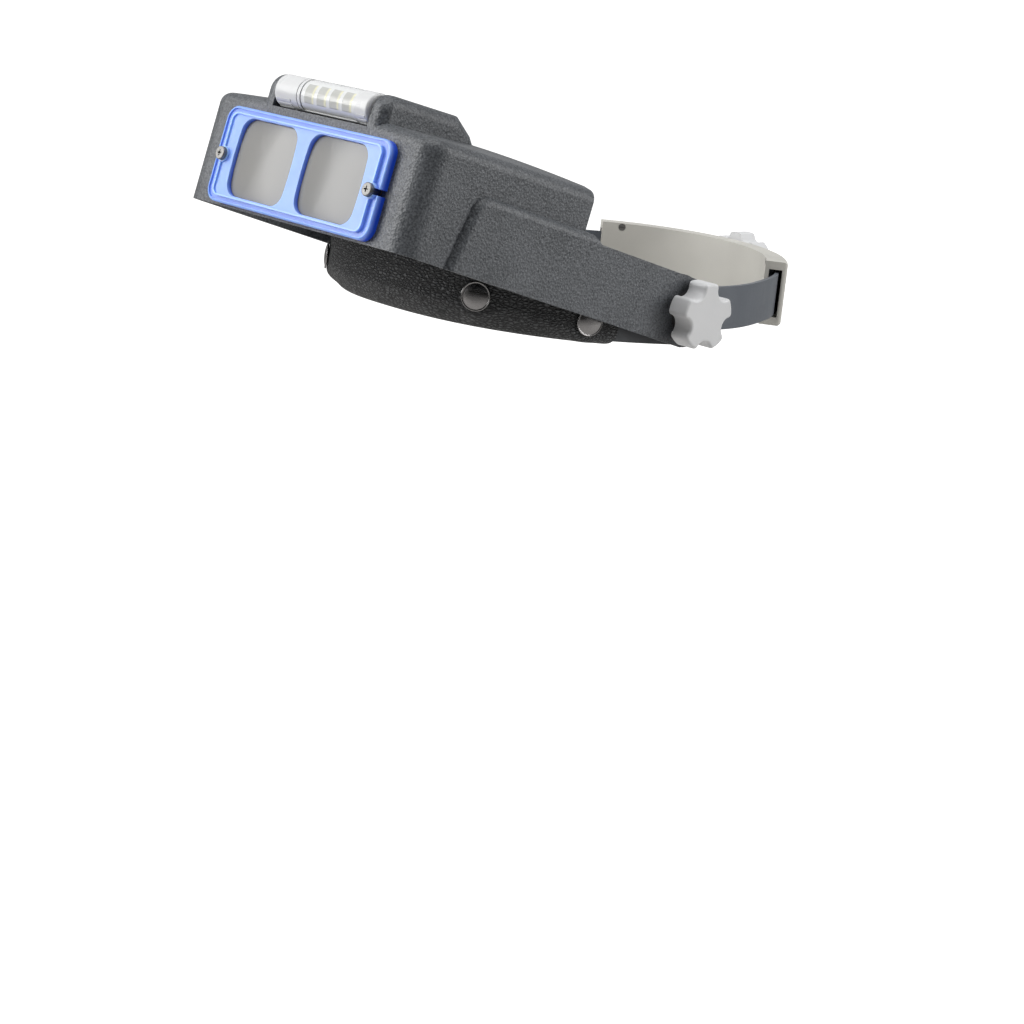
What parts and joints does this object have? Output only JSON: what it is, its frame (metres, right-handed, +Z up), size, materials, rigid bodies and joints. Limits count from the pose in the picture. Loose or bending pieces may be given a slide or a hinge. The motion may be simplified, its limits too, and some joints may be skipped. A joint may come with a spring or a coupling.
{
  "type": "head visor magnifier",
  "caption": "Head-worn visor magnifier: tilting shell with a twin-lens plate and a tilting lamp, on a padded forehead band with a ratchet size adjuster.",
  "frame": {"origin": "middle of the visor's tilt axis, between the two tilt bolts, inside the head opening", "axes": "-Y is where the wearer looks, +X is the wearer's left, +Z is up; the visor stands raised by 15.5 degrees"},
  "size_m": [0.1872, 0.2801, 0.0992],
  "materials": {
    "visor_plastic": "fine leather-grain moulded texture",
    "lens_plate_blue": "gloss, translucent",
    "lens_acrylic": "polished",
    "steel": "satin",
    "brass": "turned",
    "washer_fibre": "matt",
    "lamp_white": "satin gloss",
    "lamp_window": "frosted",
    "circuit_board": "solder mask",
    "reflector": "bright",
    "led": "phosphor",
    "cell": "bright",
    "knob_white": "satin",
    "band_plastic": "satin",
    "pad_leather": "pebbled leatherette",
    "foam": "open-cell foam",
    "snap_metal": "nickel",
    "strap_plastic": "smooth satin",
    "housing_cream": "satin",
    "gear_nylon": "satin"
  },
  "bodies": {
    "headband": {"forehead_band": "band_plastic", "comfort_pad_cover": "pad_leather", "comfort_pad_foam": "foam", "snap_caps": "snap_metal", "snap_studs": "snap_metal", "size_strap_left": "strap_plastic", "size_strap_right": "strap_plastic", "tilt_bolt_left": "steel", "tilt_bolt_right": "steel", "strap_washer_left": "washer_fibre", "strap_washer_right": "washer_fibre"},
    "visor": {"visor_shell": "visor_plastic", "lens_plate": "lens_plate_blue", "lens_left": "lens_acrylic", "lens_right": "lens_acrylic", "lens_screw_inserts": "brass", "knob_washer_left": "washer_fibre", "knob_washer_right": "washer_fibre"},
    "knob_left": {"tilt_knob_left": "knob_white", "knob_insert_left": "brass"},
    "knob_right": {"tilt_knob_right": "knob_white", "knob_insert_right": "brass"},
    "plate_screw_left": {"lens_screw_left": "steel"},
    "plate_screw_right": {"lens_screw_right": "steel"},
    "lamp": {"lamp_barrel": "lamp_white", "lamp_window": "lamp_window", "led_board": "circuit_board", "led_reflector": "reflector", "led_chips": "led", "battery_cells": "cell", "battery_spring": "steel"},
    "lamp_cap": {"lamp_end_cap": "lamp_white", "cap_contact": "brass"},
    "rear_adjuster": {"adjuster_cover": "housing_cream", "adjuster_plate": "housing_cream", "adjuster_screws": "steel", "detent_ring": "gear_nylon"},
    "ratchet": {"ratchet_knob": "knob_white", "pinion_gear": "gear_nylon", "ratchet_screw": "steel", "detent_spring": "steel"}
  },
  "joints": [
    {"name": "visor_tilt", "type": "hinge", "parent": "headband", "child": "visor", "pos_m": [0, 0, 0], "axis": [-1, 0, 0], "range_deg": [-38, 45]},
    {"name": "knob_left_turn", "type": "hinge", "parent": "headband", "child": "knob_left", "pos_m": [0.0865, 0, 0], "axis": [1, 0, 0], "range_deg": [0, 350]},
    {"name": "knob_right_turn", "type": "hinge", "parent": "headband", "child": "knob_right", "pos_m": [-0.0865, 0, 0], "axis": [-1, 0, 0], "range_deg": [0, 350]},
    {"name": "plate_screw_left_turn", "type": "hinge", "parent": "visor", "child": "plate_screw_left", "pos_m": [0.047, -0.14519, 0.04597], "axis": [0, -0.9681, 0.2504], "range_deg": [0, 350]},
    {"name": "plate_screw_right_turn", "type": "hinge", "parent": "visor", "child": "plate_screw_right", "pos_m": [-0.047, -0.14519, 0.04597], "axis": [0, -0.9681, 0.2504], "range_deg": [0, 350]},
    {"name": "lamp_tilt", "type": "hinge", "parent": "visor", "child": "lamp", "pos_m": [0, -0.13276, 0.07511], "axis": [1, 0, 0], "range_deg": [-30, 30]},
    {"name": "lamp_switch", "type": "hinge", "parent": "lamp", "child": "lamp_cap", "pos_m": [0, -0.13276, 0.07511], "axis": [1, 0, 0], "range_deg": [0, 60]},
    {"name": "band_size", "type": "slide", "parent": "headband", "child": "rear_adjuster", "axis": [0, 1, 0], "range_m": [-0.012, 0.008], "deforming": ["size_strap_left", "size_strap_right"]},
    {"name": "ratchet_turn", "type": "hinge", "parent": "rear_adjuster", "child": "ratchet", "pos_m": [0, 0.1164, 0], "axis": [0, 1, 0], "range_deg": [-138, 92]}
  ],
  "couplings": [
    {"joint": "ratchet_turn", "follows": "band_size", "rad_per_m": 200}
  ]
}
